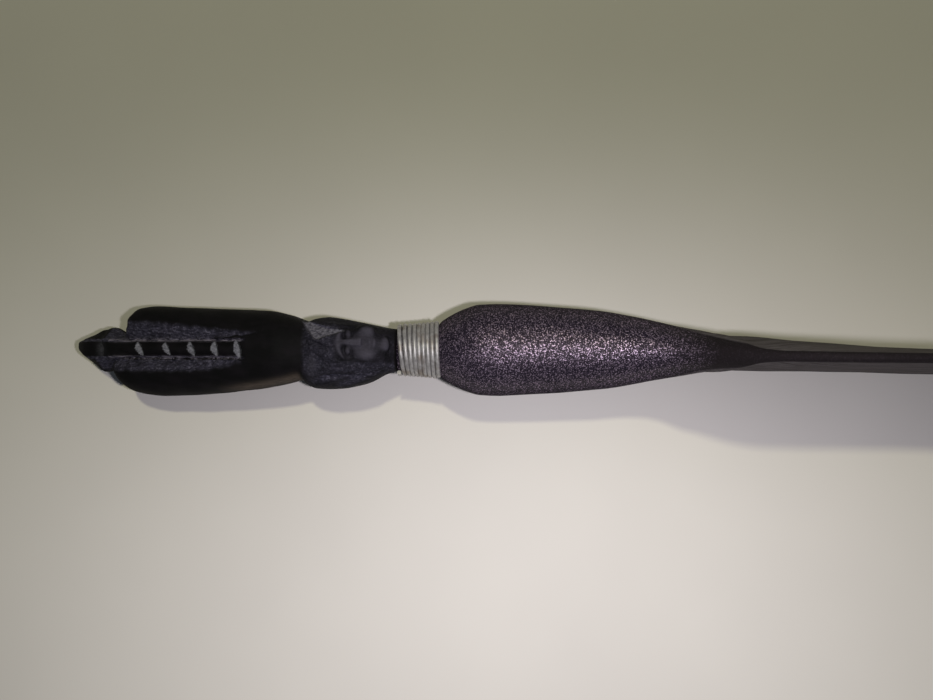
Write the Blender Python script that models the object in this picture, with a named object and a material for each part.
"""Carved serving spoon of dark stained wood with a figure head and a wire-bound neck.

Metres, +Z up. The spoon lies along +X with the figure's face up and the bowl on its edge, and
the origin is under the middle of its box. Lengths in this file are millimetres until MM.
Stations along the spoon, called s, are measured from the tip of the headdress.
"""

import math

import bmesh
import bpy
from mathutils import Matrix, Vector

MM = 0.001
GAP = 0.3

# Driving dimensions
LENGTH = 246.0
BULB_RADIUS = 8.97
BOWL_BACK = 12.1
HEADDRESS_START = 8.6
HEAD_END = 66.2
COLLAR_START = HEAD_END + GAP
TENON_RADIUS = 2.5
TENON_END = 80.0
TENON_START = 60.0
WIRE_RADIUS = 0.4
WIRE_TURNS = 9
WIRE_PITCH = 0.87
WIRE_START = 66.9
BEDDED = 0.35

# Driving curves: (station, value) pairs, joined by a smooth curve without overshoot
SPINE_HEIGHT = [
    (0, 7.2), (15, 7.6), (35, 8.9), (50, 11.2), (66, 13.6), (75, 14.4),
    (95, 16.2), (115, 18.6), (130, 22.2), (143, 24.0), (LENGTH, 24.0),
]
TIP_WIDTH = [(0, 0.9), (2.5, 3.0), (5.3, 4.4), (6.3, 4.4), (8.4, 3.3), (14, 3.0)]
TIP_DEPTH = [(0, 0.8), (2.5, 2.4), (5.5, 3.6), (9, 4.4), (14, 4.8)]
HEAD_LEFT = [
    (HEADDRESS_START, 3.2), (10.4, 4.6), (12, 7.2), (14, 8.7), (17, 9.0), (24.5, 8.65), (30.6, 8.4),
    (37, 8.1), (40, 7.9), (43.2, 7.3), (46.7, 6.4), (52.7, 6.6), (56, 6.2), (59, 5.6),
    (62, 4.95), (65, 4.35), (HEAD_END, 4.1),
]
HEAD_RIGHT = [
    (HEADDRESS_START, 4.6), (9.2, 6.6), (10.6, 8.0), (12.2, 8.7), (15.3, 9.2), (18.4, 9.35),
    (24.5, 9.2), (30.6, 8.8), (37, 7.9), (43.2, 6.8), (46.6, 6.2), (49.5, 7.7), (52.7, 7.8),
    (56, 7.6), (59, 7.2), (62, 6.3), (64.2, 4.9), (HEAD_END, 4.1),
]
HEAD_DEPTH = [
    (HEADDRESS_START, 4.8), (9.8, 6.6), (12, 7.6), (16, 8.1), (25, 8.6), (35, 9.1), (42, 9.3),
    (45.5, 8.0), (47.2, 7.3), (50, 8.3), (55, 8.9), (59, 8.4), (62.5, 7.5), (64.4, 6.5),
    (65.4, 5.0), (HEAD_END, 4.1),
]
BODY_WIDTH = [
    (COLLAR_START, 4.0), (74.2, 4.45), (75, 5.4), (77.3, 6.85), (79.8, 8.0), (82.7, 8.8),
    (86, BULB_RADIUS), (94, 8.5), (105.8, 7.45), (111.3, 6.55), (116.9, 5.4), (124, 4.05),
    (131, 3.25),
]
BODY_HEIGHT = [
    (COLLAR_START, 4.0), (74.2, 4.45), (75, 5.4), (77.3, 6.85), (79.8, 8.0), (82.7, 8.8),
    (86, BULB_RADIUS), (94, 8.8), (105.8, 9.4), (111.3, 10.2), (117, 11.8), (124, 16.4),
    (131, 21.2), (137, 23.7), (143, 24 + BEDDED), (204, 24 + BEDDED), (222, 21.6),
    (235, 15.6), (242, 9.0), (245.2, 3.6), (LENGTH, 0.8),
]
RIM_OFFSET = [(100, 0), (117, -0.1), (131, -0.6), (141, -1.0), (163, -1.3), (LENGTH, -1.4)]
RIM_WIDTH = [(105, 0), (131, 1.1), (163, 1.3), (180, 1.8), (232, 1.8), (LENGTH, 1.5)]
FRONT_SWELL = [
    (131, 2.65), (141, 1.9), (163, 0.9), (172, 0.3), (182, -3.2), (192, -6.6), (203, -8.0),
    (215, -7.2), (228, -4.0), (238, -0.6), (LENGTH, 0),
]
BACK_SWELL = [
    (131, 2.65), (141, 2.3), (163, 2.5), (172, 2.9), (182, 5.6), (192, 8.8), (204, 9.8),
    (216, 8.8), (230, 5.4), (240, 1.8), (LENGTH, 0.3),
]
LENS_START = 105.0
LENS_END = 131.0

NOTCH_STATIONS = (5.4, 12.8, 18.6, 23.5, 28.2, 33.3)
RIDGE_CENTRE = 0.3
RIDGE_WIDTH = 3.4
CHANNELS = (
    (0, 1, 38.0, 3.4),
    (1, -1, 35.5, 2.3),
)
CHANNEL_DEPTH = 2.6

WOOD_HEAD = ((0.030, 0.026, 0.030), 0.7, 0.0)
WOOD_BODY = ((0.020, 0.015, 0.016), 0.38, 0.0)
WIRE_METAL = ((0.42, 0.42, 0.40), 0.42, 1.0)


def smooth(points, s):
    """The value at station s of a monotone cubic curve through (station, value) pairs."""
    if s <= points[0][0]:
        return points[0][1]
    if s >= points[-1][0]:
        return points[-1][1]
    runs = [b[0] - a[0] for a, b in zip(points, points[1:])]
    rises = [(b[1] - a[1]) / run for a, b, run in zip(points, points[1:], runs)]
    slopes = [rises[0]]
    for left, right in zip(rises, rises[1:]):
        slopes.append(0 if left * right <= 0 else 2 * left * right / (left + right))
    slopes.append(rises[-1])
    i = max(k for k in range(len(runs)) if points[k][0] <= s)
    t = (s - points[i][0]) / runs[i]
    start, end = points[i][1], points[i + 1][1]
    lead = slopes[i] * runs[i]
    trail = slopes[i + 1] * runs[i]
    return (
        start * (1 + 2 * t) * (1 - t) ** 2
        + lead * t * (1 - t) ** 2
        + end * t * t * (3 - 2 * t)
        + trail * t * t * (t - 1)
    )


def collection(name):
    made = bpy.data.collections.new(name)
    bpy.context.scene.collection.children.link(made)
    return made


def material(name, look):
    colour, roughness, metallic = look
    made = bpy.data.materials.new(name)
    made.use_nodes = True
    shader = made.node_tree.nodes["Principled BSDF"]
    shader.inputs["Base Color"].default_value = (*colour, 1)
    shader.inputs["Roughness"].default_value = roughness
    shader.inputs["Metallic"].default_value = metallic
    return made


def object_of(name, mesh, group):
    made = bpy.data.objects.new(name, mesh)
    group.objects.link(made)
    return made


def loft(name, group, stations, ring):
    """A closed skin over the rings of points that ring(s) gives at each station."""
    mesh = bpy.data.meshes.new(name)
    form = bmesh.new()
    rows = []
    for s in stations:
        rows.append([form.verts.new(Vector(point) * MM) for point in ring(s)])
    for low, high in zip(rows, rows[1:]):
        for i in range(len(low)):
            j = (i + 1) % len(low)
            form.faces.new((low[i], low[j], high[j], high[i]))
    form.faces.new(rows[0][::-1])
    form.faces.new(rows[-1])
    bmesh.ops.recalc_face_normals(form, faces=form.faces)
    form.to_mesh(mesh)
    form.free()
    return object_of(name, mesh, group)


def spaced(start, end, count):
    return [start + (end - start) * i / (count - 1) for i in range(count)]


def rounded_ring(left, right, depth, over, under, count, s):
    """A ring about the spine at station s: a half width to each side, and a roundness above and
    below."""
    points = []
    for i in range(count):
        angle = 2 * math.pi * (i + 0.5) / count
        power = 2 / (over if math.sin(angle) > 0 else under)
        width = left if math.cos(angle) > 0 else right
        across = math.copysign(abs(math.cos(angle)) ** power, math.cos(angle))
        up = math.copysign(abs(math.sin(angle)) ** power, math.sin(angle))
        points.append((s, width * across, smooth(SPINE_HEIGHT, s) + depth * up))
    return points


def body_ring(s, count=36):
    """Round at the grip, a lens at the shoulders, and a crescent through the bowl."""
    height = smooth(BODY_HEIGHT, s)
    width = smooth(BODY_WIDTH, s)
    rim = smooth(RIM_OFFSET, s)
    half_rim = smooth(RIM_WIDTH, s) / 2
    lens = min(1, max(0, (s - LENS_START) / (LENS_END - LENS_START)))
    if s < LENS_END:
        front = back = width - half_rim
    else:
        front = smooth(FRONT_SWELL, s)
        back = smooth(BACK_SWELL, s)
    rim_turn = math.sqrt(2 * half_rim / height) if half_rim > 0 else 1
    points = []
    for i in range(count):
        angle = 2 * math.pi * i / count
        side = abs(math.sin(angle))
        swell = side ** (1 + lens)
        edge = half_rim * math.sin(math.pi / 2 * min(1, side / rim_turn))
        if math.sin(angle) >= 0:
            across = rim + edge + front * swell
        else:
            across = rim - edge - back * swell
        points.append((s, across, smooth(SPINE_HEIGHT, s) + height * math.cos(angle)))
    return points


def cylinder(name, group, radius, start, end, sides):
    """A round bar along the spoon's spine between two stations."""
    mesh = bpy.data.meshes.new(name)
    form = bmesh.new()
    foot = Vector((start, 0, smooth(SPINE_HEIGHT, start))) * MM
    head = Vector((end, 0, smooth(SPINE_HEIGHT, end))) * MM
    run = head - foot
    turn = run.to_track_quat("Z", "Y").to_matrix().to_4x4()
    place = Matrix.Translation((foot + head) / 2) @ turn
    bmesh.ops.create_cone(
        form, cap_ends=True, segments=sides, radius1=radius * MM, radius2=radius * MM,
        depth=run.length, matrix=place,
    )
    form.to_mesh(mesh)
    form.free()
    return object_of(name, mesh, group)


def box(name, group, low, high):
    mesh = bpy.data.meshes.new(name)
    form = bmesh.new()
    size = Vector(high) - Vector(low)
    middle = (Vector(high) + Vector(low)) / 2
    place = Matrix.Translation(middle * MM) @ Matrix.Diagonal((*(size * MM), 1))
    bmesh.ops.create_cube(form, size=1, matrix=place)
    form.to_mesh(mesh)
    form.free()
    return object_of(name, mesh, group)


def hide_cutter(cutter):
    cutter.hide_render = True
    cutter.display_type = "WIRE"


def boolean(target, other, operation):
    step = target.modifiers.new(operation.title() + " " + other.name, "BOOLEAN")
    step.operation = operation
    step.object = other
    hide_cutter(other)


def headdress_ring(s):
    """Rounded on top and flattened behind, where the carved head lies on a table."""
    left, right, depth = (smooth(points, s) for points in (HEAD_LEFT, HEAD_RIGHT, HEAD_DEPTH))
    return rounded_ring(left, right, depth, 2.5, 3.2, 32, s)


def tip_ring(s):
    half = smooth(TIP_WIDTH, s)
    return rounded_ring(half, half, smooth(TIP_DEPTH, s), 1.7, 1.7, 16, s)


def channel_cutter(group, index, side, end, point):
    """A tapered trough beside the ridge, narrowing to a point on the crown."""
    inner = RIDGE_CENTRE + side * RIDGE_WIDTH / 2
    outer = side * (5.7 if side > 0 else 3.9)

    def ring(s):
        share = max(0, (s - 24) / (end - 24)) ** 1.5
        near = inner + (side * point - inner) * share
        far = outer + (side * point - outer) * share + side * 0.05
        floor = smooth(SPINE_HEIGHT, s) + smooth(HEAD_DEPTH, s) - CHANNEL_DEPTH * (1 - share)
        roof = floor + 12
        return [(s, near, floor), (s, far, floor + 0.9), (s, far, roof), (s, near, roof)]

    return loft(f"channel_{index}", group, spaced(4, end, 9), ring)


def notch_cutter(group, index, s):
    """A V-shaped nick across the ridge, made with two slanting knife cuts."""
    top = smooth(SPINE_HEIGHT, s)
    top += smooth(HEAD_DEPTH, s) if s > HEADDRESS_START else smooth(TIP_DEPTH, s)
    reach = RIDGE_WIDTH / 2 + 1.0

    def ring(y):
        return [(s - 1.1, y, top + 0.8), (s + 0.2, y, top - 1.3), (s + 1.1, y, top + 0.8)]

    across = (RIDGE_CENTRE - reach, RIDGE_CENTRE + reach)
    return loft(f"notch_{index}", group, across, ring)


def make_head(group, cutters):
    """Arrow-shaped tip, lobed headdress, head and the round tenon that joins the spoon."""
    head = loft("figure_head", group, spaced(HEADDRESS_START, HEAD_END, 34), headdress_ring)
    tip = loft("tip_form", cutters, spaced(0, 14, 12), tip_ring)
    boolean(head, tip, "UNION")
    for index, side, end, point in CHANNELS:
        boolean(head, channel_cutter(cutters, index, side, end, point), "DIFFERENCE")
    for index, s in enumerate(NOTCH_STATIONS):
        boolean(head, notch_cutter(cutters, index, s), "DIFFERENCE")
    tenon = cylinder("tenon_form", cutters, TENON_RADIUS, TENON_START, TENON_END, 20)
    boolean(head, tenon, "UNION")
    return head


def make_body(group, cutters):
    """Socketed collar, bulb-shaped grip, flattened shoulders and the bowl, in one piece."""
    stations = (
        spaced(COLLAR_START, 74.2, 4) + spaced(75, 86, 9)
        + spaced(90, 122, 9) + spaced(125, 143, 8)
        + spaced(148, 163, 4) + spaced(167, 240, 20) + [242, 244, 245.3, LENGTH]
    )
    body = loft("spoon_body", group, stations, body_ring)
    socket = cylinder(
        "socket", cutters, TENON_RADIUS + GAP, COLLAR_START - 4, TENON_END + GAP, 20
    )
    boolean(body, socket, "DIFFERENCE")
    return body


def make_binding(group):
    """Soft wire wound side by side round the collar."""
    curve = bpy.data.curves.new("binding_wire", "CURVE")
    curve.dimensions = "3D"
    curve.bevel_depth = WIRE_RADIUS * MM
    curve.bevel_resolution = 1
    curve.use_fill_caps = True
    per_turn = 16
    count = WIRE_TURNS * per_turn - 5
    spline = curve.splines.new("POLY")
    spline.points.add(count)
    for i in range(count + 1):
        angle = 2 * math.pi * i / per_turn + 0.6
        s = WIRE_START + WIRE_RADIUS + WIRE_PITCH * i / per_turn
        radius = smooth(BODY_WIDTH, s) / math.cos(math.pi / per_turn) + GAP + WIRE_RADIUS
        y = radius * math.cos(angle)
        z = smooth(SPINE_HEIGHT, s) + radius * math.sin(angle)
        spline.points[i].co = (s * MM, y * MM, z * MM, 1)
    return object_of("binding_wire", curve, group)


def main():
    for old in list(bpy.data.objects):
        bpy.data.objects.remove(old)
    parts = collection("figure_spoon")
    cutters = collection("figure_spoon_cutters")
    head = make_head(parts, cutters)
    body = make_body(parts, cutters)
    wire = make_binding(parts)
    table = box("table_plane", cutters, (-20, -60, -20), (LENGTH + 20, 60, 0))
    for piece in (head, body):
        boolean(piece, table, "DIFFERENCE")
    for piece, name, look in (
        (head, "carved_wood", WOOD_HEAD),
        (body, "polished_wood", WOOD_BODY),
        (wire, "wire_metal", WIRE_METAL),
    ):
        piece.data.materials.append(material(name, look))
    for piece in (head, body):
        piece.data.shade_smooth()
        piece.data.set_sharp_from_angle(angle=math.radians(35))
    frame = bpy.data.objects.new("spoon_frame", None)
    parts.objects.link(frame)
    frame.location = (-LENGTH / 2 * MM, (BOWL_BACK - BULB_RADIUS) / 2 * MM, 0)
    for group in (parts, cutters):
        for item in group.objects:
            if item != frame:
                item.parent = frame


main()
